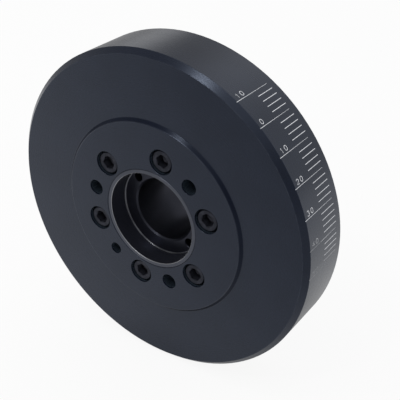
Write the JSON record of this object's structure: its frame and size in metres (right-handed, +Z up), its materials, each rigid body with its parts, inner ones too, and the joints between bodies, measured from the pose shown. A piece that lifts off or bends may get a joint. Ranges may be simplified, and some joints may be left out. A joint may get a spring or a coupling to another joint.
{
  "type": "harmonic balancer",
  "caption": "Black crankshaft harmonic balancer: bolted shells with a degree scale on the rim, steel hub with keyed bore, and a sprung inertia ring inside.",
  "frame": {"origin": "on the crank axis, at the rear seat of the hub, where the crank enters the bore", "axes": "+Y along the crank axis toward the engine, so the front face looks toward -Y; +Z up as the balancer stands in the picture, with the zero mark 47.8 degrees above +X"},
  "size_m": [0.1798, 0.0627, 0.1798],
  "materials": {
    "shell_coat": "satin black anodised, fine turning marks",
    "hub_steel": "dark oxide on turned steel, nose face lighter",
    "ring_steel": "turned",
    "elastomer": "matt black",
    "screw_steel": "black oxide",
    "pin_steel": "ground"
  },
  "bodies": {
    "housing": {"front_shell": "shell_coat", "rear_shell": "shell_coat", "hub": "hub_steel", "locating_pin": "pin_steel", "hub_screw_1": "screw_steel", "hub_screw_2": "screw_steel", "hub_screw_3": "screw_steel", "hub_screw_4": "screw_steel", "hub_screw_5": "screw_steel", "hub_screw_6": "screw_steel", "front_elastomer_1": "elastomer", "front_elastomer_2": "elastomer", "front_elastomer_3": "elastomer", "rear_elastomer_1": "elastomer", "rear_elastomer_2": "elastomer", "rear_elastomer_3": "elastomer", "rim_elastomer_1": "elastomer", "rim_elastomer_2": "elastomer", "core_elastomer": "elastomer"},
    "inertia": {"inertia_ring": "ring_steel"}
  },
  "joints": [
    {"name": "ring_twist", "type": "hinge", "parent": "housing", "child": "inertia", "pos_m": [0, -0.0439, 0], "axis": [0, 1, 0], "range_deg": [-1, 1], "stiffness_Nm_per_rad": 400}
  ]
}
